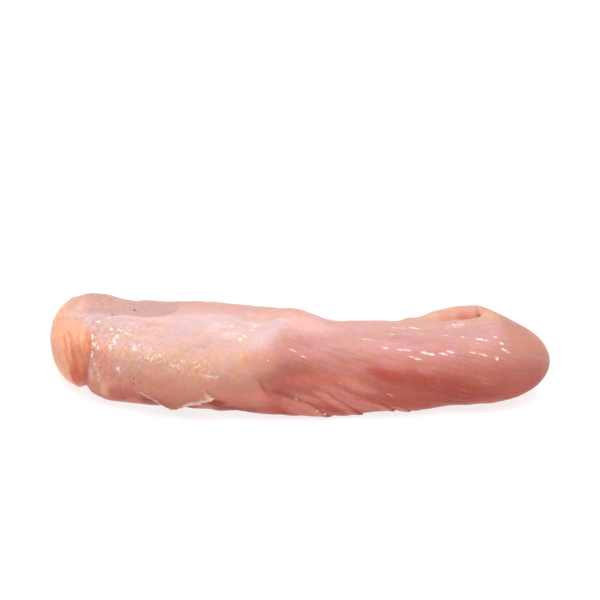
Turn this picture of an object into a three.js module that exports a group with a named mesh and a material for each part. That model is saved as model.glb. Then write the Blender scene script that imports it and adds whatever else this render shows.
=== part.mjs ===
// A raw alligator tenderloin: the long trimmed muscle from inside the tail, one piece of meat.
// It lies as it would on a board, a little bowed, with its flat side down.
// Millimetres: +X runs along the muscle to its round tip, -Y faces the side that shows, +Z is up.
// A place on the surface is given by x and by the degrees round the muscle:
// 0 is the top, 90 the side that shows, 180 the underside and -90 the back.

import * as THREE from 'three';
import { mergeVertices } from 'three/addons/utils/BufferGeometryUtils.js';

// Driving dimensions
const LENGTH = 220;
const DEPTH = 53; // front to back where it is thickest
const HEIGHT = 38; // top to bottom where it is thickest

// The plain form at every tenth of the length, from the fat end to the tip
const HEIGHT_SHARES = [0.76, 0.88, 0.97, 1, 0.98, 0.92, 0.81, 0.8, 0.78, 0.86, 0.86];
const DEPTH_SHARES = [0.85, 0.92, 0.96, 0.99, 1, 0.98, 0.91, 0.87, 0.9, 0.9, 0.8];
const SET_BACK_SHARES = [0.53, 0.3, 0.11, 0.04, 0.01, 0, 0.03, 0.06, 0.11, 0.108, 0.12]; // of DEPTH
const SQUARENESS = 2.35; // 2 is an ellipse, more is boxier
const BELLY_SAG = 1.12; // how much the lower half would swell if nothing held it up

// The two ends: the share of the length that rounds over, how blunt it is, and where it closes
const FAT_END = { reach: 0.085, blunt: 2.7, back: 0.52, up: 0.6 };
const TIP_END = { reach: 0.165, blunt: 2.1, back: 0.5, up: 0.48 };

// Mesh: rings along the muscle and points round it, with more rings where the ends curve
const RINGS = 92;
const POINTS_ROUND = 56;
const FAT_END_RINGS = 0.12;
const TIP_END_RINGS = 0.2;

const DEGREE = 0.4; // mm round the surface for each degree

const MEAT = new THREE.MeshStandardMaterial({ name: 'raw_meat', color: 0xe0a597, roughness: 0.38 });

// A smooth curve through [t, value] points in rising t, level beyond its ends
function through(points, t) {
  const last = points.length - 1;
  if (t <= points[0][0]) return points[0][1];
  if (t >= points[last][0]) return points[last][1];
  let i = 0;
  while (t > points[i + 1][0]) i += 1;
  const [before, from, to, after] = [points[Math.max(i - 1, 0)], points[i], points[i + 1],
    points[Math.min(i + 2, last)]];
  const span = to[0] - from[0];
  const startSlope = (to[1] - before[1]) / (to[0] - before[0]) * span;
  const endSlope = (after[1] - from[1]) / (after[0] - from[0]) * span;
  const s = (t - from[0]) / span;
  return from[1] * (1 + 2 * s) * (1 - s) ** 2 + to[1] * s * s * (3 - 2 * s)
    + startSlope * s * (1 - s) ** 2 - endSlope * s * s * (1 - s);
}

const evenly = (values) => values.map((value, i) => [i / (values.length - 1), value]);
const heightAt = (u) => HEIGHT * through(evenly(HEIGHT_SHARES), u);
const depthAt = (u) => DEPTH * through(evenly(DEPTH_SHARES), u);
const setBackAt = (u) => DEPTH * through(evenly(SET_BACK_SHARES), u);

// 0 before a, 1 after b, with a soft step between
const rise = (a, b, t) => THREE.MathUtils.smoothstep(t, a, b);

// 1 before a, 0 after b
const drop = (a, b, t) => 1 - rise(a, b, t);

// 1 between a and b, falling off softly over `soft` outside them
const between = (a, b, soft, t) => rise(a - soft, a, t) * drop(b, b + soft, t);

// The lower of two lengths, with their corner rounded over `blend`
function lower(a, b, blend) {
  if (b > a + blend) return a;
  const mix = THREE.MathUtils.clamp(0.5 + 0.5 * (b - a) / blend, 0, 1);
  return b + (a - b) * mix - blend * mix * (1 - mix);
}

// A rounded swelling of height 1 at its middle (x, degrees), with its two reaches
const swelling = (x, a, at) => Math.exp(-(((x - at.x) / at.long) ** 2) - ((a - at.round) / at.wide) ** 2);

// Mm to the right of a line that runs round the muscle; the line gives x for each degree
function rightOf(line, x, a) {
  const step = 4;
  const slope = (through(line, a + step) - through(line, a - step)) / (2 * step * DEGREE);
  return (x - through(line, a)) / Math.hypot(1, slope);
}

// The high back of the fat end, with a nub of fat on its edge, and the back edge next to it
function rearMound(x, a) {
  const hump = { x: -91, long: x < -91 ? 11 : 17, round: -62, wide: 38 };
  const nub = { x: -101.5, long: 1.8, round: -46, wide: 8 };
  const notch = { x: -71.5, long: 3, round: -52, wide: 30 };
  const backEdge = 1.3 * between(-66, -38, 14, x) * Math.exp(-(((a + 56) / 20) ** 2));
  return 4 * swelling(x, a, hump) + 1.6 * swelling(x, a, nub) - 0.6 * swelling(x, a, notch) + backEdge;
}

// The right lobe starts with a raised crest that crosses the muscle slantwise
const CREST = [[-90, 12], [-50, 0.5], [-19, -3], [20, -9.5], [51, -16], [68, -27], [84, -37], [110, -47]];
function lobeCrest(x, a) {
  const d = rightOf(CREST, x, a);
  const height = 1.7 - 0.8 * rise(-45, -5, a);
  const crest = height * Math.exp(-((d / (d < 0 ? 5.5 : 8)) ** 2)) * between(-70, 88, 25, a);
  const valley = -0.7 * Math.exp(-(((d + 10) / 7) ** 2)) * between(0, 88, 25, a);
  const fall = -2 * Math.exp(-(((d - 17) / 9) ** 2)) * between(45, 92, 18, a);
  const saddle = { x: 13, long: 9, round: -48, wide: 30 };
  return crest + valley + fall - 1.3 * swelling(x, a, saddle);
}

// The dent under the crest, and the fold that curls round its lower left
const FOLD = [[70, -18], [83, -16.4], [95, -14.4], [102.5, -12], [108, -8.7], [112, -6]];
function hollow(x, a) {
  const dent = { x: -6, long: 7, round: 107, wide: 11 };
  const band = { x: 6, long: 20, round: 74, wide: 9 };
  const d = rightOf(FOLD, x, a);
  const fold = 0.5 * (Math.exp(-(((d + 2.6) / 2.6) ** 2)) - Math.exp(-(((d - 1.4) / 2.4) ** 2)))
    * between(86, 106, 12, a);
  return -1.9 * swelling(x, a, dent) - 0.8 * swelling(x, a, band) + fold;
}

// Flakes of muscle along the lower front: each one ends in a ledge, under a slanting crease.
// `out` is how far its flake stands out, as a share of the largest one.
const CREASES = [
  { line: [[98, -6], [105, 3], [115, 9.8], [133, 16]], from: 101, out: 1 },
  { line: [[84, 7], [96, 14], [108, 20.4], [130, 28.8]], from: 90, out: 1 },
  { line: [[98, 28], [110, 37], [120, 40.6], [131, 42.4]], from: 104, out: 0.7 },
  { line: [[108, 42], [117, 46.4], [130, 49]], from: 112, out: 0.4 },
];
const FRINGE_BASE = [[-26, 0], [-14, 2], [-5, 2.3], [4, 2.2], [14, 2.4], [27, 1.8], [34, 0.6], [42, 0],
  [50, 0.4], [60, 0]];
function fringe(x, a) {
  let height = through(FRINGE_BASE, x) * rise(100, 124, a);
  for (const crease of CREASES) {
    const d = rightOf(crease.line, x, a);
    const stand = crease.out * (0.35 + 0.8 * rise(108, 126, a));
    const ledge = stand * drop(-1.6, 0.6, d) * Math.exp(Math.min(0, d) / 5);
    const groove = -0.4 * Math.exp(-(((d - 1.2) / 1.8) ** 2));
    height += (ledge + groove) * rise(crease.from - 3, crease.from + 6, a);
  }
  return height;
}

// The rim of fat along the back near the tip, with a small and a large pocket in front of it
const CROWN = [[47, 0], [54, 1.8], [61, 4.4], [68, 5.8], [76, 6], [82, 5.6], [90, 3], [98, 0]];
function fatRim(x, a) {
  const crown = through(CROWN, x);
  const rim = crown * Math.exp(-(((a + 64) / 20) ** 2));
  const smallPocket = { x: 65, long: 3.4, round: -44, wide: 8 };
  const largePocket = { x: 76, long: 5, round: -42, wide: 9 };
  const foot = { x: 69, long: 12, round: -24, wide: 9 };
  const bump = { x: 49, long: 3.2, round: -56, wide: 14 };
  return rim - 1.8 * swelling(x, a, smallPocket) - 3 * swelling(x, a, largePocket)
    + 0.7 * swelling(x, a, foot) + 1.6 * swelling(x, a, bump);
}

// Fat folded over the end: soft wrinkles that run together into one deep crease
const END_CREASE = [[60, -91], [80, -90.4], [100, -91.2], [112, -91.8], [130, -92.2]];
const WRINKLES = [
  { line: [[50, -101.6], [62, -100.8], [85, -98.7], [102, -95.8], [120, -94]], from: 60 },
  { line: [[42, -99.4], [54, -98.7], [73, -96.6], [94, -93.8], [116, -93]], from: 54 },
];
function endFolds(x, a) {
  const crease = -2.4 * Math.exp(-((rightOf(END_CREASE, x, a) / 1.9) ** 2)) * between(96, 132, 26, a);
  const cheek = { x: -81, long: 9, round: 118, wide: 22 };
  let height = crease + 2.4 * swelling(x, a, cheek);
  for (const wrinkle of WRINKLES) {
    const d = rightOf(wrinkle.line, x, a);
    const swell = 0.3 * Math.exp(-(((d + 1.6) / 1.3) ** 2));
    height += (swell - 0.5 * Math.exp(-(d ** 2))) * between(wrinkle.from, 116, 14, a);
  }
  return height;
}

// Silverskin over the left half: its edge at the fat, and the torn lip at its lower front
const SILVERSKIN_EDGE = [[20, -84], [48, -85.5], [66, -86.9], [81, -88.2], [104, -88.2]];
const TORN_LIP = [[-71, 101], [-66.7, 104], [-62.4, 107.5], [-59, 111.5], [-56, 119], [-53, 125],
  [-49.7, 119], [-45, 111.5], [-40, 108.5], [-35.2, 105], [-33, 98]];
function silverskin(x, a) {
  const edge = 0.5 * rise(-0.8, 0.8, rightOf(SILVERSKIN_EDGE, x, a)) * between(30, 96, 18, a)
    * drop(-84, -60, x);
  const below = (a - through(TORN_LIP, x)) * DEGREE;
  const lip = 1.3 * drop(-1.2, 1.2, below) * Math.exp(Math.min(0, below) / 5) * between(-64, -38, 5, x);
  const gap = -2 * rise(-0.8, 1.8, below) * Math.exp(-Math.max(0, below) / 9) * between(-55, -38, 5, x);
  return edge + lip + gap;
}

// Slow unevenness of soft flesh, all round
function fleshWaves(x, a) {
  const turn = THREE.MathUtils.degToRad(a);
  return 0.35 * Math.sin(x / 13 + 2 * turn) + 0.3 * Math.sin(x / 7.3 - 3 * turn + 1)
    + 0.25 * Math.sin(x / 19 + turn + 2.2);
}

function relief(x, a) {
  return rearMound(x, a) + lobeCrest(x, a) + hollow(x, a) + fringe(x, a) + fatRim(x, a)
    + endFolds(x, a) + silverskin(x, a) + fleshWaves(x, a);
}

// The straight line across a section between two places round it, as a radius at a third place
function chord(radiusAt, a1, a2, a) {
  const [r1, r2] = [radiusAt(a1), radiusAt(a2)];
  const sine = (degrees) => Math.sin(THREE.MathUtils.degToRad(degrees));
  const across = r1 * sine(a - a1) + r2 * sine(a2 - a);
  return across > 0.001 ? r1 * r2 * sine(a2 - a1) / across : Infinity;
}

// On the left part a ridge parts a flat top from a flat front: it slants back and runs out
const RIDGE = [[-112, 0], [-100, 14], [-90, 19], [-72, 11], [-59, 10], [-53, -2], [-48, -36], [-46, -52]];
const FLAT_BACK = -56;
const FLAT_FROM = 8;
const FLAT_FRONT = 62;
function ridged(radiusAt, x, a) {
  const radius = radiusAt(a);
  const ridge = through(RIDGE, x);
  if (Math.abs(a) > 90) return radius;
  const top = lower(radius, chord(radiusAt, FLAT_BACK, ridge, a), 1);
  const front = lower(top, chord(radiusAt, Math.max(ridge, FLAT_FROM), FLAT_FRONT, a), 1);
  const edge = 0.7 * Math.exp(-(((a - ridge) * DEGREE / 3) ** 2)) * drop(-62, -48, x);
  return top + (front - top) * drop(-66, -34, x) + edge;
}

// Share of the full section that is left near the two ends
function endShare(u) {
  const fat = Math.max(0, 1 - u / FAT_END.reach);
  const tip = Math.max(0, 1 - (1 - u) / TIP_END.reach);
  return (1 - fat ** FAT_END.blunt) ** (1 / FAT_END.blunt)
    * (1 - tip ** TIP_END.blunt) ** (1 / TIP_END.blunt);
}

// Share of the length for a share of the rings
function shareOfLength(s) {
  const quarter = Math.PI / 2;
  if (s < FAT_END_RINGS) return FAT_END.reach * (1 - Math.cos(s / FAT_END_RINGS * quarter));
  if (s > 1 - TIP_END_RINGS) return 1 - TIP_END.reach * (1 - Math.cos((1 - s) / TIP_END_RINGS * quarter));
  const barrel = (s - FAT_END_RINGS) / (1 - FAT_END_RINGS - TIP_END_RINGS);
  return FAT_END.reach + barrel * (1 - FAT_END.reach - TIP_END.reach);
}

// The point of the surface at a share of the rings and a place round them
function surface(s, a) {
  const u = shareOfLength(s);
  const x = (u - 0.5) * LENGTH;
  const [high, deep, setBack] = [heightAt(u), depthAt(u), setBackAt(u)];
  const share = endShare(u);
  const sag = 1 + (BELLY_SAG - 1) * share;
  const radiusAt = (degrees) => {
    const turn = THREE.MathUtils.degToRad(degrees);
    const up = Math.cos(turn) < 0 ? high / 2 * sag : high / 2;
    const across = Math.abs(Math.sin(turn) * 2 / deep) ** SQUARENESS;
    const upward = Math.abs(Math.cos(turn) / up) ** SQUARENESS;
    return (across + upward) ** (-1 / SQUARENESS);
  };
  const radius = ridged(radiusAt, x, a) + relief(x, a);
  const turn = THREE.MathUtils.degToRad(a);
  const y = setBack + deep / 2 - radius * Math.sin(turn);
  const z = Math.max(0, high / 2 + radius * Math.cos(turn));
  const end = u < 0.5 ? FAT_END : TIP_END;
  const closeY = setBack + deep * end.back;
  const closeZ = high * end.up;
  return new THREE.Vector3(x, closeY + (y - closeY) * share, closeZ + (z - closeZ) * share);
}

// A ball with its poles on the X axis, each point of it moved onto the surface
function tenderloinGeometry() {
  const ball = new THREE.SphereGeometry(1, POINTS_ROUND, RINGS);
  ball.rotateZ(-Math.PI / 2);
  ball.deleteAttribute('normal');
  ball.deleteAttribute('uv');
  const geometry = mergeVertices(ball, 1e-5);
  const place = geometry.attributes.position;
  const point = new THREE.Vector3();
  for (let i = 0; i < place.count; i += 1) {
    point.fromBufferAttribute(place, i);
    const s = Math.acos(THREE.MathUtils.clamp(-point.x, -1, 1)) / Math.PI;
    const a = THREE.MathUtils.radToDeg(Math.atan2(-point.y, point.z));
    place.setXYZ(i, ...surface(s, a).toArray());
  }
  geometry.computeBoundingBox();
  const middle = geometry.boundingBox.getCenter(new THREE.Vector3());
  geometry.translate(-middle.x, -middle.y, -geometry.boundingBox.min.z);
  geometry.computeVertexNormals();
  return geometry;
}

const tenderloin = new THREE.Mesh(tenderloinGeometry(), MEAT);
tenderloin.name = 'tenderloin';

const part = new THREE.Group();
part.add(tenderloin);

export default part;
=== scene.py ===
from math import cos, radians, sin

import bmesh
import bpy
import numpy as np
from mathutils import Matrix, Vector, noise


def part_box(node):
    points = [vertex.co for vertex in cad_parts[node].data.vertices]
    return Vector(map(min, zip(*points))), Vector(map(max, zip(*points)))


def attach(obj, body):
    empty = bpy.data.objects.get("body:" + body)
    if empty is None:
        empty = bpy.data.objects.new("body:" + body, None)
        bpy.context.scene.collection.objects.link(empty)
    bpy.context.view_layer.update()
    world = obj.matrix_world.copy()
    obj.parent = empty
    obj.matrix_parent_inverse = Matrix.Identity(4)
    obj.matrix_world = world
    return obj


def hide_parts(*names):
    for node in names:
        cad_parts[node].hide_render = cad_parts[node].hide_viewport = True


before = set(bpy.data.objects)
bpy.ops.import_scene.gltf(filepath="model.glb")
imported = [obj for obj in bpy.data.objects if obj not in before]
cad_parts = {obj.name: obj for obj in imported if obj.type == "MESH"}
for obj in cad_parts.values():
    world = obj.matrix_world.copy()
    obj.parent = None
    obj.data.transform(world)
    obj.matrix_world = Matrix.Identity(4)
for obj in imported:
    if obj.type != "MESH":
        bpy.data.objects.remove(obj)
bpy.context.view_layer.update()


# --- Camera -------------------------------------------------------------------------------------
# A long lens looks down at the meat from the front. It aims at a point on the table behind the
# meat, so that the meat lies in the lower half of the picture, as it does in the photo.

CAMERA_AIM = Vector((0.0014, 0.0554, 0.012))
CAMERA_TILT = radians(28)
CAMERA_AWAY = 0.674


def add_to_scene(data):
    """A new object in the scene, named as its mesh, light or camera"""
    thing = bpy.data.objects.new(data.name, data)
    bpy.context.scene.collection.objects.link(thing)
    return thing


camera_data = bpy.data.cameras.new("camera")
camera_data.lens = 85
camera_data.sensor_width = 36
camera = add_to_scene(camera_data)
toward_camera = Vector((0, -cos(CAMERA_TILT), sin(CAMERA_TILT)))
camera.location = CAMERA_AIM + CAMERA_AWAY * toward_camera
camera.rotation_euler = toward_camera.to_track_quat("Z", "Y").to_euler()
bpy.context.scene.camera = camera


# --- The muscle's form --------------------------------------------------------------------------
# One long muscle, cut free and laid down. A ball with its poles at the two ends is drawn out to the
# heights, depths and set-backs below, and the relief of its flesh is added.

# Lengths are in mm. A place on the muscle is x along it, from the fat end to the tip, and a, the
# degrees round it: 0 is the top, 90 the side that shows, 180 the underside and -90 the back. Its
# place along is also given as u, a share of the length.
MM = 0.001
DEGREE = 0.4  # mm round the surface for each degree
low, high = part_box("tenderloin")
LENGTH = (high.x - low.x) / MM
DEPTH = 0.241 * LENGTH
HEIGHT = 0.1727 * LENGTH

# The plain form at every tenth of the length
HEIGHT_SHARES = [0.76, 0.88, 0.97, 1, 0.98, 0.92, 0.81, 0.8, 0.78, 0.86, 0.86]
DEPTH_SHARES = [0.85, 0.92, 0.96, 0.99, 1, 0.98, 0.91, 0.87, 0.9, 0.9, 0.8]
SET_BACK_SHARES = [0.53, 0.3, 0.11, 0.04, 0.01, 0, 0.03, 0.06, 0.11, 0.108, 0.12]  # of DEPTH
SQUARENESS = 2.35  # 2 is an ellipse, more is boxier
BELLY_SAG = 1.12  # how much the lower half would swell if nothing held it up

# The two ends: the share of the length that rounds over, how blunt it is, and where it closes
FAT_REACH, FAT_BLUNT, FAT_BACK, FAT_UP = 0.085, 2.7, 0.52, 0.6
TIP_REACH, TIP_BLUNT, TIP_BACK, TIP_UP = 0.165, 2.1, 0.5, 0.48

# Rings along the muscle and points round it; the two ends take these shares of the rings
RINGS, POINTS_ROUND = 480, 200
FAT_RINGS, TIP_RINGS = 0.12, 0.2


def through(points, t):
    """A smooth curve through (t, value) points in rising t, level beyond its ends"""
    at = np.array([point[0] for point in points], float)
    value = np.array([point[1] for point in points], float)
    t = np.clip(t, at[0], at[-1])
    i = np.clip(np.searchsorted(at, t) - 1, 0, len(at) - 2)
    before, after = np.maximum(i - 1, 0), np.minimum(i + 2, len(at) - 1)
    span = at[i + 1] - at[i]
    start = (value[i + 1] - value[before]) / (at[i + 1] - at[before]) * span
    end = (value[after] - value[i]) / (at[after] - at[i]) * span
    s = (t - at[i]) / span
    return (value[i] * (1 + 2 * s) * (1 - s) ** 2 + value[i + 1] * s * s * (3 - 2 * s)
            + start * s * (1 - s) ** 2 - end * s * s * (1 - s))


def evenly(values):
    """The values as points of a curve, evenly spread over the length"""
    return [(i / (len(values) - 1), value) for i, value in enumerate(values)]


def rise(a, b, t):
    """0 before a, 1 after b, with a soft step between"""
    s = np.clip((t - a) / (b - a), 0, 1)
    return s * s * (3 - 2 * s)


def drop(a, b, t):
    """1 before a, 0 after b"""
    return 1 - rise(a, b, t)


def between(a, b, soft, t):
    """1 between a and b, falling off over soft outside them"""
    return rise(a - soft, a, t) * drop(b, b + soft, t)


def hill(distance, reach):
    """1 at distance 0, falling off softly both ways"""
    return np.exp(-(distance / reach) ** 2)


def lower(a, b, blend):
    """The lower of two lengths, with their corner rounded over blend"""
    mix = np.clip(0.5 + 0.5 * (b - a) / blend, 0, 1)
    return np.where(b > a + blend, a, b + (a - b) * mix - blend * mix * (1 - mix))


def swelling(x, a, at, long, around, wide):
    """A rounded swelling of height 1: its x and reach along, its degrees and reach round"""
    return hill(x - at, long) * hill(a - around, wide)


def right_of(line, x, a):
    """Mm to the right of a line that runs round the muscle; the line gives x for each degree"""
    step = 4  # degrees each way, for the line's slant
    slope = (through(line, a + step) - through(line, a - step)) / (2 * step * DEGREE)
    return (x - through(line, a)) / np.hypot(1, slope)


def rear_mound(x, a):
    """The high back of the fat end, with a nub of fat on its edge, and the back edge next to it"""
    hump = 4 * swelling(x, a, -91, np.where(x < -91, 11, 17), -62, 38)
    nub = 1.6 * swelling(x, a, -101.5, 1.8, -46, 8)
    notch = -0.6 * swelling(x, a, -71.5, 3, -52, 30)
    back_edge = 1.3 * between(-66, -38, 14, x) * hill(a + 56, 20)
    return hump + nub + notch + back_edge


# The lines of the crest, and of the fold and creases after it, give x at each degree
CREST = [(-90, 12), (-50, 0.5), (-19, -3), (20, -9.5), (51, -16), (68, -27), (84, -37), (110, -47)]


def lobe_crest(x, a):
    """The right lobe starts with a raised crest that crosses the muscle slantwise"""
    d = right_of(CREST, x, a)
    height = 1.7 - 0.8 * rise(-45, -5, a)
    crest = height * hill(d, np.where(d < 0, 5.5, 8)) * between(-70, 88, 25, a)
    valley = -0.7 * hill(d + 10, 7) * between(0, 88, 25, a)
    fall = -2 * hill(d - 17, 9) * between(45, 92, 18, a)
    saddle = -1.3 * swelling(x, a, 13, 9, -48, 30)
    return crest + valley + fall + saddle


FOLD = [(70, -18), (83, -16.4), (95, -14.4), (102.5, -12), (108, -8.7), (112, -6)]


def hollow(x, a):
    """The dent under the crest, and the fold that curls round its lower left"""
    dent = -1.9 * swelling(x, a, -6, 7, 107, 11)
    band = -0.8 * swelling(x, a, 6, 20, 74, 9)
    d = right_of(FOLD, x, a)
    fold = (0.5 * hill(d + 2.6, 2.6) - 0.5 * hill(d - 1.4, 2.4)) * between(86, 106, 12, a)
    return dent + band + fold


# Each crease of the fringe: its line, the degrees where it starts, and how far its flake stands out
CREASES = [([(98, -6), (102, -2), (105.5, 3.5), (109, 6.5), (115, 9.8), (127, 14.4), (133, 16)], 101, 1),
           ([(84, 7), (90, 10.6), (96, 14), (101, 16.6), (108, 20.4), (117, 24.8), (130, 28.8)], 90, 1),
           ([(98, 28), (105.6, 33.1), (110, 37), (120, 40.6), (131, 42.4)], 104, 0.7),
           ([(108, 42), (117, 46.4), (130, 49)], 112, 0.4)]
FRINGE_BASE = [(-26, 0), (-14, 2), (-5, 2.3), (4, 2.2), (14, 2.4), (27, 1.8), (34, 0.6), (42, 0), (50, 0.4),
               (60, 0)]


def fringe(x, a):
    """Flakes of muscle along the lower front, each one a ledge under a slanting crease"""
    height = through(FRINGE_BASE, x) * rise(100, 124, a)
    for line, start, out in CREASES:
        d = right_of(line, x, a)
        stand = out * (0.35 + 0.8 * rise(112, 126, a))
        ledge = stand * drop(-0.7, 0.3, d) * np.exp(np.minimum(0, d) / 5)
        groove = -0.3 * hill(d - 0.6, 0.8)
        height = height + (ledge + groove) * rise(start - 3, start + 6, a)
    return height


CROWN = [(47, 0), (54, 1.8), (61, 4.4), (68, 5.8), (76, 6), (82, 5.6), (90, 3), (98, 0)]


def fat_rim(x, a):
    """The rim of fat along the back near the tip, with two pockets in front of it"""
    rim = through(CROWN, x) * hill(a + 64, 20)
    small_pocket = -1.8 * swelling(x, a, 65, 3.4, -44, 7)
    large_pocket = -3 * swelling(x, a, 76, 5, -42, 9) * drop(79, 80.4, x)
    foot = 0.7 * swelling(x, a, 69, 12, -24, 9)
    bump = 1.6 * swelling(x, a, 49, 3.2, -56, 14)
    return rim + small_pocket + large_pocket + foot + bump


END_CREASE = [(60, -91), (80, -90.4), (100, -91.2), (112, -91.8), (130, -92.2)]
# Each wrinkle of the fat: its line, and the degrees where it starts
WRINKLES = [([(50, -101.6), (62, -100.8), (85, -98.7), (102, -95.8), (120, -94)], 60),
            ([(42, -99.4), (54, -98.7), (73, -96.6), (94, -93.8), (116, -93)], 54),
            ([(56, -94.8), (68, -92.8), (80, -91.8), (92, -92)], 58),
            ([(42, -87.6), (57, -88.3), (67, -88.6), (81, -89.8), (100, -91.3), (116, -92)], 50)]


def uneven(x, a):
    """Mm that the wrinkles in the fat stray sideways"""
    return 0.35 * np.sin(a / 5 + x / 3) + 0.25 * np.sin(a / 2.3 - x / 2)


def end_folds(x, a):
    """Fat folded over the end: soft wrinkles that run together into one deep crease"""
    crease = -2.4 * hill(right_of(END_CREASE, x, a), 1.9) * between(96, 132, 26, a)
    cheek = 2.4 * swelling(x, a, -81, 9, 118, 22)
    wrinkles = 0
    for line, start in WRINKLES:
        d = right_of(line, x, a) + uneven(x, a)
        furrow = 0.3 * hill(d + 1.6, 1.3) - 0.45 * hill(d, 0.9)
        wrinkles = wrinkles + furrow * between(start, line[-1][0], 14, a)
    return crease + wrinkles + cheek


SILVERSKIN_EDGE = [(20, -84), (48, -85.5), (66, -86.9), (81, -88.2), (104, -88.2)]
TORN_LIP = [(-71, 101), (-66.7, 104), (-62.4, 107.5), (-59, 111.5), (-56, 119), (-53, 125), (-49.7, 119),
            (-45, 111.5), (-40, 108.5), (-35.2, 105), (-33, 98)]


def silverskin(x, a):
    """Silverskin over the left half: its edge at the fat, and the torn lip at its lower front"""
    d = right_of(SILVERSKIN_EDGE, x, a)
    edge = 0.5 * rise(-0.8, 0.8, d) * between(30, 96, 18, a) * drop(-84, -60, x)
    below = (a - through(TORN_LIP, x)) * DEGREE
    lip = 1.3 * drop(-1.2, 1.2, below) * np.exp(np.minimum(0, below) / 5) * between(-64, -38, 5, x)
    return edge + lip


def torn_gap(x, a):
    """The muscle draws back under the torn lip"""
    below = (a - through(TORN_LIP, x)) * DEGREE
    return -2 * rise(-0.8, 1.8, below) * np.exp(-np.maximum(0, below) / 9) * between(-55, -38, 5, x)


def flesh_waves(x, a):
    """Slow unevenness of soft flesh, all round"""
    turn = np.radians(a)
    return (0.35 * np.sin(x / 13 + 2 * turn) + 0.3 * np.sin(x / 7.3 - 3 * turn + 1)
            + 0.25 * np.sin(x / 19 + turn + 2.2))


def main_relief(x, a):
    """Mm that the flesh stands out from the plain form"""
    return (rear_mound(x, a) + lobe_crest(x, a) + hollow(x, a) + fringe(x, a) + fat_rim(x, a)
            + end_folds(x, a) + silverskin(x, a) + flesh_waves(x, a))


# The fall of the fibres: mm round the muscle at each x
GRAIN = [(-110, -26), (-30, -7), (-10, -1), (10, 5), (40, 14.5), (80, 28), (110, 39)]

# Crinkled silverskin. Every such list of places holds (x, reach along, degrees, reach round)
CRINKLED = [(-86.5, 1.8, 57, 11), (-77.5, 1.8, 50, 15), (-77, 7, 37, 5), (-86, 6, 26, 6), (-66, 6, 58, 6),
            (-59, 9, 66, 6), (-46, 12, 72, 8), (-36, 5, 80, 5), (-75, 2, 82, 5),
            (-84, 3, 84, 10), (-22, 2, 38, 4), (-18, 2, 17, 6), (70, 6, -18, 7)]


def anywhere(places, x, a):
    """How much a point lies in any of the places"""
    cover = 0
    for at, long, around, wide in places:
        cover = np.maximum(cover, swelling(x, a, at, long, around, wide))
    return cover


def ripples(along, across, seed):
    """Uneven bumps from -1 to 1, one unit apart"""
    return np.array([noise.noise((p, q, seed)) for p, q in zip(along.tolist(), across.tolist())])


def fine_relief(x, a):
    """Lumps, bundles of fibre that run along the muscle, and crinkles in the silverskin"""
    across = a * DEGREE - through(GRAIN, x)
    lumps = 0.4 * ripples(x / 7, a * DEGREE / 5, 1)
    bundles = 0.22 * ripples(x / 14, across / 1.7, 2) + 0.12 * ripples(x / 8, across / 0.9, 3)
    crinkles = (0.5 - 2 * np.abs(ripples((x + across * 0.5) / 1.7, across / 2.6, 4))) * 0.2
    lean = 0.5 + 0.5 * rise(-4, 14, right_of(CREST, x, a))
    return (lumps + bundles * lean + crinkles * anywhere(CRINKLED, x, a)) * drop(140, 172, np.abs(a))


RIDGE = [(-112, 0), (-100, 14), (-90, 19), (-72, 11), (-59, 10), (-53, -2), (-48, -36), (-46, -52)]
FLAT_BACK, FLAT_FROM, FLAT_FRONT = -56, 8, 62


def ridged(radius_at, x, a):
    """On the left part a ridge parts a flat top from a flat front: it slants back and runs out"""
    radius = radius_at(a)
    ridge = through(RIDGE, x)

    def chord(a1, a2):
        """The straight line across a section between two places round it, as a radius"""
        r1, r2 = radius_at(a1), radius_at(a2)
        across = r1 * np.sin(np.radians(a - a1)) + r2 * np.sin(np.radians(a2 - a))
        return np.where(across > MM, r1 * r2 * np.sin(np.radians(a2 - a1)) / np.maximum(across, MM), LENGTH)

    top = lower(radius, chord(FLAT_BACK, ridge), 1)
    front = lower(top, chord(np.maximum(ridge, FLAT_FROM), FLAT_FRONT), 1)
    edge = 0.7 * hill((a - ridge) * DEGREE, 3) * drop(-62, -48, x)
    return np.where(np.abs(a) <= 90, top + (front - top) * drop(-66, -34, x) + edge, radius)


def end_share(u):
    """Share of the full section that is left near the two ends"""
    fat = np.clip(1 - u / FAT_REACH, 0, 1)
    tip = np.clip(1 - (1 - u) / TIP_REACH, 0, 1)
    return (1 - fat ** FAT_BLUNT) ** (1 / FAT_BLUNT) * (1 - tip ** TIP_BLUNT) ** (1 / TIP_BLUNT)


def share_of_length(s):
    """Share of the length for a share of the rings, which are closer where the ends curve"""
    fat = FAT_REACH * (1 - np.cos(np.clip(s / FAT_RINGS, 0, 1) * np.pi / 2))
    tip = 1 - TIP_REACH * (1 - np.cos(np.clip((1 - s) / TIP_RINGS, 0, 1) * np.pi / 2))
    barrel = (s - FAT_RINGS) / (1 - FAT_RINGS - TIP_RINGS)
    middle = FAT_REACH + barrel * (1 - FAT_REACH - TIP_REACH)
    return np.where(s < FAT_RINGS, fat, np.where(s > 1 - TIP_RINGS, tip, middle))


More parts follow.
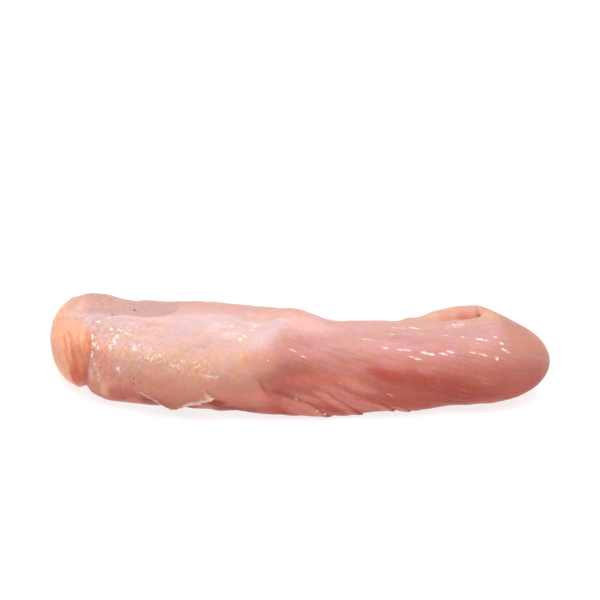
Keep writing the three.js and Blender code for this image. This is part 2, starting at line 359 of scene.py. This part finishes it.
def surface(u, x, a, relief):
    """The points of the surface, in mm"""
    tall, deep = HEIGHT * through(evenly(HEIGHT_SHARES), u), DEPTH * through(evenly(DEPTH_SHARES), u)
    back = DEPTH * through(evenly(SET_BACK_SHARES), u)
    share = end_share(u)
    sag = 1 + (BELLY_SAG - 1) * share

    def radius_at(degrees):
        turn = np.radians(degrees)
        up = np.where(np.cos(turn) < 0, tall / 2 * sag, tall / 2)
        total = np.abs(np.sin(turn) * 2 / deep) ** SQUARENESS + np.abs(np.cos(turn) / up) ** SQUARENESS
        return total ** (-1 / SQUARENESS)

    radius = ridged(radius_at, x, a) + relief
    turn = np.radians(a)
    y = back + deep / 2 - radius * np.sin(turn)
    z = np.maximum(0, tall / 2 + radius * np.cos(turn))
    left = u < 0.5
    close_y = back + deep * np.where(left, FAT_BACK, TIP_BACK)
    close_z = tall * np.where(left, FAT_UP, TIP_UP)
    return np.stack([x, close_y + (y - close_y) * share, close_z + (z - close_z) * share], -1)


def mesh_from(bm, name):
    """A new mesh of what the bmesh holds"""
    mesh = bpy.data.meshes.new(name)
    bm.to_mesh(mesh)
    bm.free()
    return mesh


def points_of(mesh):
    """The mesh's points, as rows of x, y and z"""
    flat = np.empty(len(mesh.vertices) * 3)
    mesh.vertices.foreach_get("co", flat)
    return flat.reshape(-1, 3)


def add_shaped(mesh, points):
    """Moves a mesh's points to the ones given, in metres, and adds it to the scene, smooth"""
    mesh.vertices.foreach_set("co", points.ravel())
    mesh.update()
    mesh.shade_smooth()
    return add_to_scene(mesh)


bm = bmesh.new()
bmesh.ops.create_uvsphere(bm, u_segments=POINTS_ROUND, v_segments=RINGS, radius=1,
                          matrix=Matrix.Rotation(radians(90), 4, "Y"))
meat_mesh = mesh_from(bm, "tenderloin_meat")
ball = points_of(meat_mesh)
u = share_of_length(np.arccos(np.clip(-ball[:, 0], -1, 1)) / np.pi)
x = (u - 0.5) * LENGTH

# The points lie closer together round the muscle where it shows most
CLOSER_AT, CLOSER = 50, 18
even_round = np.degrees(np.arctan2(-ball[:, 1], ball[:, 2]))
a = even_round - CLOSER * np.sin(np.radians(even_round - CLOSER_AT))
a = (a + CLOSER * sin(radians(-CLOSER_AT)) + 180) % 360 - 180

points = surface(u, x, a, main_relief(x, a) + torn_gap(x, a) + fine_relief(x, a))
middle, lowest = (points.min(0) + points.max(0)) / 2, points[:, 2].min()


def in_frame(points):
    """Mm on the muscle as metres in the frame, where it lies centred on the table"""
    return (points - [middle[0], middle[1], lowest]) * MM


meat = add_shaped(meat_mesh, in_frame(points))
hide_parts("tenderloin")
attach(meat, "root")


# --- What the surface is made of ----------------------------------------------------------------
# Red lean muscle shows on the lower front of the right lobe. Pale fascia covers the top, milky
# where it is thick, silverskin the left half, and there is fat on the left end and on the rim.
# Shade in creases, gaps, hollows and folds, the lit strips of the flakes and the wet glints are painted into
# the colour as well.

# Where each kind of flesh lies, as lists of places
MILKY = [(-32, 15, 14, 20), (-52, 8, 14, 9), (-86, 15, 14, 10)]
# The first place, the dent under the crest, is painted darker red as shade in the hollow, over the red lean;
# the others are red lean
RED = [(-5.8, 4.6, 98, 7), (40, 12, 74, 10), (54, 14, 83, 12), (67, 13, 94, 18), (78, 12, 104, 16),
       (64, 14, 112, 13)]
# Painted shade: dark red in the gaps low on the front, under and beside the torn lip, and in the large
# pocket's lower right corner
SHADED_GAPS = [(-61.5, 5.5, 119, 9), (-50, 9, 126, 6), (-34, 4.5, 112, 6), (-26, 11, 122, 7), (79.6, 1.2, -34, 5)]
PLACES = {
    "pink": [(-92, 9, -14, 30), (5, 14, -2, 28), (48, 3, -56, 12), (-88.2, 1.4, 90, 9)],
    "blush": [(-81.5, 5, 82, 22)],
    "low_blush": [(-75, 7, 108, 9), (-64, 6, 112, 7), (-28, 10, 118, 8)],
    "tan": [(-84, 6, 84, 26), (-15, 9, 66, 12)],
    "cream": [(69, 12, -60, 8), (84, 4, -36, 14), (58, 5, -50, 6), (-101, 3, -40, 12), (-62, 3.5, 23, 5),
              (-36, 4.5, 80, 2), (71, 3, -34, 5)],
    "orange": [(75, 6.5, -41, 10)],
    "fat_shade": [(-89.5, 4, 61, 18), (-94.2, 3.4, 72, 18), (65.3, 2.8, -45, 7)],
    "yellow": [(-82.2, 2.4, 106, 11), (-84.5, 1, 92, 7), (-92.5, 2, 56, 6)],
    "specks": [(-79.6, 1.1, 11, 2.4), (-77.9, 1, 7.5, 1.4), (-71, 0.9, -27, 2.8), (-68.8, 0.5, 95, 1.1),
               (-68.6, 0.4, 88, 0.7)],
    "crinkled": CRINKLED,
}

# Places that are drawn out along the fibres
GRAIN_PLACES = {
    # lilac: a pale lilac sheen, partly the fascia's colour and partly painted sheen
    "lilac": [(58, 13, 32, 13), (45, 12, 18, 12), (78, 4, 80, 1.5), (80.5, 4, 87, 1.3)],
    "veiled": [(4, 13, 79, 7), (-3, 7, 90, 9)],
    "flake": [(18, 11, 92, 6), (27, 9, 86, 7), (22, 16, 104, 10), (2, 16, 114, 9), (5, 8, 100, 5)],
    # glints are painted highlights: white spots in the colour where the wet flesh would catch the light
    "glints": [(51, 3, -14, 2.2), (42, 2, -15, 1.4), (45.5, 2.2, -12, 1.3), (53.6, 1.8, 6, 1.3),
               (41, 2, 5, 1.2), (28, 2.6, 17, 1.5), (31, 1.6, 18.5, 1.2), (37.7, 1.5, 37, 2.6),
               (44, 2, 41, 2.2), (47, 2.2, 43, 1.6), (51, 2.8, 56, 1.4), (48.4, 2, 52.5, 1.2),
               (54, 2, 48, 2.8), (56.8, 2.2, 51, 2.4), (62, 2.6, 52, 1.9), (65, 2.4, 50, 2.4),
               (64, 1.3, 15, 2.4), (71, 1.1, 24, 2.6), (74.6, 1.1, 5, 2), (78, 2.4, 34, 2.2),
               (80.5, 1.8, 36.5, 1.5), (74.4, 2.4, 53.5, 1.2), (78.8, 2.6, 57, 1.3), (84.6, 1.1, 31, 2),
               (87, 1, 42, 3.2), (87.6, 1.5, 51, 2.4), (84.3, 1.1, 62, 2.2), (89.5, 2, 54, 1.1),
               (-87.6, 0.8, 50, 4), (-86.6, 0.7, 60, 4), (-87.2, 0.7, 72, 4), (-84.5, 0.6, 62, 4),
               (-79.5, 1.3, 36.4, 1.8), (-75.4, 1.4, 37, 1.7), (-72, 1.6, 41, 1.6), (-76.4, 0.8, 46, 4),
               (-77.6, 1, 54, 4), (-79, 0.9, 61, 3.5), (-68.4, 1, 57, 3), (-74.8, 0.8, 80.5, 1.8),
               (-27.5, 1.2, 22, 2.4), (-17.5, 1, 15, 2.2), (-18.9, 0.9, 27, 2.6), (-22, 1.1, 37.5, 1.6),
               (-24, 0.8, 43, 1.8), (-1.5, 2.6, 51, 1), (3, 2.4, 57, 1), (-0.3, 1, 102, 1.6),
               (8.5, 0.8, 114, 1.6), (12, 0.8, 120, 1.8), (39.3, 1.8, 94, 1), (-12, 0.7, 63, 1)],
}

# The edges of the fat on the left end and of the lean lobe: x at each degree
FAT_EDGE = [(6, -98), (20, -93), (32, -90), (50, -88.2), (66, -88.4), (81, -90.2), (100, -91.9),
            (115, -93), (130, -93.4)]
LEAN_EDGE = [(-90, 12), (-50, 0.5), (-19, -3), (20, -9.5), (51, -15), (66, -19), (84, -18), (110, -15)]


def along_grain(places, x, a):
    """Like anywhere, with every place drawn out along the fibres"""
    cover = 0
    for at, long, around, wide in places:
        fallen = (through(GRAIN, x) - through(GRAIN, np.array(at))) / DEGREE
        cover = np.maximum(cover, swelling(x, a - fallen, at, long, around, wide))
    return cover


def keep_layers(mesh, x, a, pale_edge):
    """Stores how much of each layer shows at each point of a mesh, for the material to read"""
    crease_shade, strips = 0, 0  # painted shade in the creases, and the painted highlight of the lit strip of flake beside each one
    for line, start, _ in CREASES:
        d = right_of(line, x, a)
        window = rise(start - 3, start + 6, a)
        crease_shade = np.maximum(crease_shade, 0.6 * hill(d - 0.3, 0.5) * window)
        strips = np.maximum(strips, hill(d + 1.8, 1.5) * window)
    # Darker red-orange along the wrinkles of the fat and in the deep crease at its end: partly the fat's
    # colour, partly painted shade in the folds
    folds = 1.2 * swelling(x, a, -95.3, 3, 99, 18)
    for line, start in WRINKLES:
        d = right_of(line, x, a) + uneven(x, a)
        folds = np.maximum(folds, 0.45 * hill(d - 0.3, 1.5) * between(start, line[-1][0], 14, a))
    # The dark red line along the fold by the dent is painted shade in its groove
    fold = hill(right_of(FOLD, x, a) - 0.8, 1) * between(86, 108, 8, a)
    crest = right_of(CREST, x, a)
    below = (a - through(TORN_LIP, x)) * DEGREE
    # painted shade along the line under the torn lip
    lip_shade = hill(below - 0.8, 0.7) * between(-50, -36, 2, x)
    fat = drop(-1, 0.6, right_of(FAT_EDGE, x, a) / (1.5 + 9 * drop(40, 66, a))) * rise(-8, 30, a)
    layers = {
        "along": x,
        "across": a * DEGREE - through(GRAIN, x),
        "round": a,
        "under": rise(152, 174, np.abs(a)),
        "lobe": right_of(LEAN_EDGE, x, a) / (1 + 5 * rise(60, 120, -a)),
        "fat": np.maximum(fat, drop(-106, -99, x)),
        "fold": folds,
        "plane": between(-84, -50, 18, x) * drop(-4, 2, a - through(RIDGE, x)) * rise(-100, -60, a),
        "mound": swelling(x, a, -86, 14, -58, 30),
        "milky": np.maximum(anywhere(MILKY, x, a), hill(crest + 2, 5) * between(8, 42, 16, a)),
        "red": np.maximum(along_grain(RED, x, a), 0.6 * fold),
        "tip": np.maximum(rise(80, 96, x) * between(-60, 50, 30, a), 0.7 * rise(101, 109, x)),
        "dark": np.maximum(np.maximum(crease_shade, lip_shade), 1.2 * anywhere(SHADED_GAPS, x, a)),
        "strips": strips,
        "pale_edge": pale_edge,
    }
    layers.update((name, anywhere(places, x, a)) for name, places in PLACES.items())
    layers.update((name, along_grain(places, x, a)) for name, places in GRAIN_PLACES.items())
    for name, values in layers.items():
        mesh.attributes.new(name, "FLOAT", "POINT").data.foreach_set("value", values.astype(np.float32))


keep_layers(meat_mesh, x, a, pale_edge=0 * x)


class Shade:
    """One output of a material's nodes, so that sums and products of outputs add Math nodes"""

    def __init__(self, tree, socket=None):
        self.tree = tree
        self.socket = socket

    def node(self, kind, settings=None, sockets=None, out=0):
        """Adds a node: first its settings, then the values or links of its sockets"""
        node = self.tree.nodes.new(kind)
        for name, value in (settings or {}).items():
            if name == "stops":
                while len(node.color_ramp.elements) < len(value):
                    node.color_ramp.elements.new(1)
                for element, (position, colour) in zip(node.color_ramp.elements, value):
                    element.position = position
                    element.color = (*colour, 1)
            else:
                setattr(node, name, value)
        for name, value in (sockets or {}).items():
            if isinstance(value, Shade):
                self.tree.links.new(value.socket, node.inputs[name])
            else:
                node.inputs[name].default_value = value
        return Shade(self.tree, node.outputs[out])

    def math(self, operation, *terms):
        return self.node("ShaderNodeMath", {"operation": operation}, dict(enumerate(terms)))

    def __add__(self, other):
        return self.math("ADD", self, other)

    def __sub__(self, other):
        return self.math("SUBTRACT", self, other)

    def __rsub__(self, other):
        return self.math("SUBTRACT", other, self)

    def __mul__(self, other):
        return self.math("MULTIPLY", self, other)

    __radd__ = __add__
    __rmul__ = __mul__

    def step(self, start, end):
        """0 below start, 1 above end, soft between"""
        return self.node("ShaderNodeMapRange", {"interpolation_type": "SMOOTHSTEP"},
                         {"Value": self, "From Min": start, "From Max": end})

    def mix(self, start, end):
        """From one colour to another by this number"""
        ends = [colour if isinstance(colour, Shade) else (*colour, 1) for colour in (start, end)]
        return self.node("ShaderNodeMix", {"data_type": "RGBA"}, {0: self, 6: ends[0], 7: ends[1]}, out=2)

    def ramp(self, stops):
        """Colours by this number: stops are (number, colour) in rising order"""
        first, last = stops[0][0], stops[-1][0]
        share = (self - first) * (1 / (last - first))
        places = [((number - first) / (last - first), colour) for number, colour in stops]
        return self.node("ShaderNodeValToRGB", {"stops": places}, {0: share})


material = bpy.data.materials.new("raw_meat")
material.use_nodes = True
nodes = Shade(material.node_tree)
shader = material.node_tree.nodes["Principled BSDF"]
meat_mesh.materials.append(material)


def stored(name):
    """How much of a layer shows, as the mesh holds it"""
    return nodes.node("ShaderNodeAttribute", {"attribute_name": name}, out=2)


def grain_noise(long, wide, detail=2, seed=0):
    """Noise drawn out along the fibres, from -1 to 1; long and wide are its reaches in mm"""
    place = nodes.node("ShaderNodeCombineXYZ", sockets={"X": stored("along") * (1 / long),
                       "Y": stored("across") * (1 / wide), "Z": seed})
    return nodes.node("ShaderNodeTexNoise", sockets={"Vector": place, "Scale": 1, "Detail": detail}) * 2 - 1


def blotches(size, detail=2, seed=0):
    """Even noise, from -1 to 1; size in mm"""
    place = nodes.node("ShaderNodeTexCoord", out=3)
    moved = nodes.node("ShaderNodeVectorMath", {"operation": "ADD"}, {0: place, 1: (seed, seed, seed)})
    return nodes.node("ShaderNodeTexNoise", sockets={"Vector": moved, "Scale": 1 / (size * MM),
                                                     "Detail": detail}) * 2 - 1


MILKY_FASCIA = (0.62, 0.425, 0.43)
PINK_FLESH = (0.72, 0.41, 0.375)
# Greyer flat top behind the ridge: partly its own colour, partly painted shade where the top faces away from
# the light
SHADED_GREY_PLANE = (0.52, 0.305, 0.28)
MOUND_FLESH = (0.55, 0.295, 0.265)
TAN_FLESH = (0.67, 0.32, 0.24)
BLUSH_FLESH = (0.7, 0.28, 0.21)
LOW_BLUSH_FLESH = (0.54, 0.137, 0.093)
TIP_FLESH = (0.47, 0.215, 0.165)
LEAN = (0.41, 0.074, 0.053)
VEILED_LEAN = (0.42, 0.12, 0.095)
FLAKE_FLESH = (0.72, 0.27, 0.215)
LILAC_SHEEN = (0.5, 0.215, 0.205)
# Painted shade, for the creases, the gaps and the line under the torn lip
DEEP_SHADE = (0.31, 0.03, 0.018)
# Painted highlight: the paler strip of each flake below its crease, as if lit from above
LIT_STRIP = (0.72, 0.27, 0.2)
FAT = (0.83, 0.4, 0.265)
LOW_FAT = (0.9, 0.4, 0.22)
SHADED_FAT = (0.6, 0.235, 0.15)
FAT_FOLD = (0.62, 0.105, 0.055)
CREAM_FAT = (0.66, 0.38, 0.255)
# Orange fat in the large pocket, painted darker as shade in the recess
ORANGE_FAT_IN_SHADE = (0.5, 0.15, 0.085)
YELLOW_FAT = (0.8, 0.42, 0.24)
UNDERSIDE = (0.6, 0.33, 0.28)
# Painted highlight, for the glints and the crinkles of the silverskin
GLINT_WHITE = (0.92, 0.78, 0.73)
TORN_WHITE = (0.85, 0.51, 0.45)
SPECK = (0.06, 0.03, 0.025)

# Colours round the muscle, by degrees, left and right of the slanting crest
LEFT_COLOURS = [(-180, UNDERSIDE), (-90, (0.58, 0.33, 0.29)), (-30, (0.6, 0.34, 0.29)),
                (-8, (0.62, 0.36, 0.33)), (10, (0.66, 0.44, 0.41)), (34, (0.63, 0.41, 0.375)),
                (52, (0.64, 0.39, 0.34)), (66, (0.67, 0.385, 0.305)), (80, (0.67, 0.33, 0.25)),
                (92, (0.65, 0.27, 0.2)), (103, (0.64, 0.23, 0.17)), (116, (0.52, 0.15, 0.1)),
                (180, UNDERSIDE)]
RIGHT_COLOURS = [(-180, UNDERSIDE), (-90, (0.56, 0.27, 0.22)), (-30, (0.6, 0.33, 0.29)),
                 (0, (0.55, 0.3, 0.275)), (36, (0.55, 0.27, 0.25)), (56, (0.51, 0.215, 0.185)),
                 (74, (0.47, 0.155, 0.125)), (94, (0.49, 0.115, 0.083)), (112, (0.46, 0.08, 0.052)),
                 (136, (0.4, 0.08, 0.055)), (180, UNDERSIDE)]

streaks = grain_noise(22, 1.6, 3)
fibres = grain_noise(9, 0.6, 2, 7)
mottling = blotches(9, 3)
warmth = blotches(6, 3, 0.5)
grain = blotches(1.8, 3, 0.3)
dots = blotches(0.9, 1, 0.9)
crinkle_place = nodes.node("ShaderNodeCombineXYZ", sockets={
    "X": (stored("along") + stored("across") * 0.5) * 0.6, "Y": stored("across") * 0.22, "Z": 4})
crinkles = nodes.node("ShaderNodeTexNoise", sockets={
    "Vector": crinkle_place, "Scale": 1, "Detail": 2}) * 2 - 1

# Fibres show most on the lean lobe and not at all underneath
lobe_cover = (stored("lobe") + streaks * 1.5 + mottling * 3).step(-4, 10)
fibrous = (0.15 + lobe_cover * 0.4 + stored("lobe").step(8, 45) * 0.4) * (1 - stored("under"))

around = stored("round") + (streaks * 5 + fibres) * fibrous + mottling * 9
colour = lobe_cover.mix(around.ramp(LEFT_COLOURS), around.ramp(RIGHT_COLOURS))
low_fat = (around + mottling * 8).step(50, 96)

# The layers from the bottom up: the name that each is stored under, its colour, how strongly it
# covers, and how ragged its edge is
ragged = streaks * fibrous * 0.7 + mottling + grain * 0.3
for name, over, strength, raggedness in [
        ("under", UNDERSIDE, 1, 0),
        ("tan", TAN_FLESH, 0.75, 0.5),
        ("tip", TIP_FLESH, 0.9, 0.4),
        ("red", LEAN, 0.85, 0.6),
        ("veiled", VEILED_LEAN, 0.75, 0.6),
        ("flake", FLAKE_FLESH, 0.65, 0.6),
        ("blush", BLUSH_FLESH, 0.85, 0.7),
        ("low_blush", LOW_BLUSH_FLESH, 0.8, 0.7),
        ("pink", PINK_FLESH, 0.9, 0.3),
        ("plane", SHADED_GREY_PLANE, 0.9, 0.15),
        ("mound", MOUND_FLESH, 0.8, 0.6),
        ("milky", MILKY_FASCIA, 0.9, 0.4),
        ("strips", LIT_STRIP, 0.55, 0.8),
        ("fat", low_fat.mix(FAT, LOW_FAT), 1, 0.9),
        ("fat_shade", SHADED_FAT, 0.9, 0.8),
        ("lilac", LILAC_SHEEN, 0.55, 0.8),
        ("cream", CREAM_FAT, 0.9, 0.6),
        ("orange", ORANGE_FAT_IN_SHADE, 0.95, 0.3),
        ("yellow", YELLOW_FAT, 0.7, 0.5),
        ("fold", FAT_FOLD, 0.85, 0.6),
        ("dark", DEEP_SHADE, 0.9, 0.3),
        ("pale_edge", TORN_WHITE, 0.9, 0.6)]:
    cover = (stored(name) + ragged * (raggedness / 2)).step(0.1, 0.9) * strength
    colour = cover.mix(colour, over)

# White glints, painted highlights in the colour, and the white lines and dots of crinkled silverskin,
# partly its own pale colour and partly painted highlight
crinkled = stored("crinkled")
lines = (0.1 - nodes.math("ABSOLUTE", crinkles)).step(0, 0.08)
webs = (crinkled * 1.1 + (1 - lobe_cover) * 0.15) * (lines * 0.7 + dots * 1.1 + grain * 0.6)
glint_and_crinkle_flecks = (stored("glints") * (1 + dots * 0.7) + webs * 0.8).step(0.35, 0.95)
colour = (glint_and_crinkle_flecks * 0.85).mix(colour, GLINT_WHITE)
colour = stored("specks").step(0.3, 0.7).mix(colour, SPECK)

# Paler and redder specks and fibres, and warmer and cooler patches
fine = grain * 0.8 + dots * 0.5 + crinkles * 0.4
wrinkly = 1 - stored("along").step(-80, -52)
pale = 0.5 + (streaks * 0.25 + fibres * 0.45) * fibrous + fine * (0.45 + crinkled * 0.4 + wrinkly * 0.5)
tint = pale.mix((0.86, 0.83, 0.82), (1.13, 1.17, 1.18))
warm = (warmth * 1.6 + 0.5).mix((0.985, 0.99, 1.08), (1.01, 0.99, 0.87))
for layer in (tint, warm):
    colour = nodes.node("ShaderNodeVectorMath", {"operation": "MULTIPLY"}, {0: colour, 1: layer})

shine = glint_and_crinkle_flecks.math("MAXIMUM", glint_and_crinkle_flecks, crinkled * 0.4)
height = (streaks * 0.35 + fibres * 0.3) * fibrous + grain * 0.2 + blotches(1.5, 3, 0.7) * (0.2 + shine * 0.9)
bump = nodes.node("ShaderNodeBump", sockets={"Height": height, "Distance": 0.00025, "Strength": 1})

for name, value in {"Base Color": colour, "Normal": bump, "Coat Weight": shine * 0.8 + 0.04}.items():
    material.node_tree.links.new(value.socket, shader.inputs[name])
for name, value in {"Roughness": 0.4, "Specular IOR Level": 0.2, "Coat Roughness": 0.08,
                    "Subsurface Weight": 0.35, "Subsurface Radius": (0.003, 0.0012, 0.0008),
                    "Subsurface Scale": 1}.items():
    shader.inputs[name].default_value = value


# --- The torn silverskin ------------------------------------------------------------------------
# Low on the left the thin silverskin has torn and hangs over the muscle as a flap. It grows out of
# the skin above, so its upper edge is sunk in the flesh, and its torn edge stands free and pale.

FLAP_COLUMNS, FLAP_ROWS = 150, 60
FLAP_THICK = 0.3 * MM
FLAP_TOP = 82  # degrees
FLAP_LEFT, FLAP_RIGHT = -69, -39
TORN_EDGE = [(-70, 101), (-66.7, 104), (-62.4, 109), (-59, 115), (-56, 123), (-53, 128), (-51, 127),
             (-49.5, 120), (-47.5, 115), (-45, 112.5), (-41.6, 109.5), (-39, 106.5), (-37, 104.5),
             (-34.6, 102)]

bm = bmesh.new()
bmesh.ops.create_grid(bm, x_segments=FLAP_COLUMNS, y_segments=FLAP_ROWS, size=0.5)
flap_mesh = mesh_from(bm, "silverskin_flap")
across, down = (points_of(flap_mesh) + 0.5)[:, :2].T

# Its right side curves, and its lower edge is torn in small jags
right_side = FLAP_RIGHT + 4.4 * down - 1.2 * np.sin(down * np.pi)
flap_x = FLAP_LEFT + across * (right_side - FLAP_LEFT)
jags = 1.5 * ripples(flap_x / 1.4, 0 * flap_x, 6) + 1.2 * ripples(flap_x / 4, 0 * flap_x, 7)
flap_a = FLAP_TOP + (through(TORN_EDGE, flap_x) + jags - FLAP_TOP) * down

# Mm that it stands off the flesh: sunk along its top, free and wavy along its torn edge
free = np.minimum(rise(0.35, 1, down), rise(0, 0.25, across))
free = free + 0.8 * rise(0.9, 1, across) * rise(0.3, 0.8, down)
lift = -0.5 + 1.1 * np.minimum(free, 1) + 0.5 * free * ripples(flap_x / 2.2, flap_a / 4, 8)
flap_u = flap_x / LENGTH + 0.5
flap_points = in_frame(surface(flap_u, flap_x, flap_a, main_relief(flap_x, flap_a) + lift))
flap_points[:, 2] = np.maximum(flap_points[:, 2], FLAP_THICK)

# The torn edge is pale, widest and palest at its right
lower_edge = rise(0.8 - 0.06 * rise(-50, -44, flap_x), 0.94, down)
lower_edge = lower_edge * (0.65 + 0.35 * rise(-52, -44, flap_x))
right_edge = rise(0.9, 0.98, across) * rise(0.55, 0.8, down)
keep_layers(flap_mesh, flap_x, flap_a, pale_edge=np.maximum(lower_edge, right_edge))
flap_mesh.materials.append(material)

flap = add_shaped(flap_mesh, flap_points)
skin = flap.modifiers.new("skin", "SOLIDIFY")
skin.thickness = FLAP_THICK
skin.offset = -1
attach(flap, "root")


# --- Table and light ----------------------------------------------------------------------------
# A plain white table that burns out to white, one soft light from high in front, and three small
# ones from above and behind that give the wet flesh its glints.

bm = bmesh.new()
bmesh.ops.create_grid(bm, x_segments=1, y_segments=1, size=4)
table_mesh = mesh_from(bm, "table")
table = add_to_scene(table_mesh)
paint = bpy.data.materials.new("table_white")
paint.use_nodes = True
for name, value in {"Base Color": (0.25, 0.25, 0.25, 1), "Roughness": 0.8,
                    "Emission Color": (1, 1, 1, 1), "Emission Strength": 0.8}.items():
    paint.node_tree.nodes["Principled BSDF"].inputs[name].default_value = value
table_mesh.materials.append(paint)


def sun(name, toward, strength, angle):
    """A far light; toward points from the table to it, and its angle in degrees makes it soft"""
    data = bpy.data.lights.new(name, "SUN")
    data.energy = strength
    data.angle = radians(angle)
    lamp = add_to_scene(data)
    lamp.rotation_euler = Vector(toward).to_track_quat("Z", "Y").to_euler()
    return lamp


front_light = sun("front_light", (0.05, -0.22, 1), 3.6, 50)
front_light.visible_glossy = False  # so wide a light would lay one flat band of sheen on the wet flesh
for back, up in ((0.69, 0.72), (0.5, 0.87), (0.26, 0.97)):
    sun("glint_light", (0, back, up), 0.25, 4)

world = bpy.data.worlds.new("studio")
world.use_nodes = True
world.node_tree.nodes["Background"].inputs["Color"].default_value = (1, 1, 1, 1)
world.node_tree.nodes["Background"].inputs["Strength"].default_value = 0.2
bpy.context.scene.world = world
bpy.context.scene.view_settings.view_transform = "Standard"
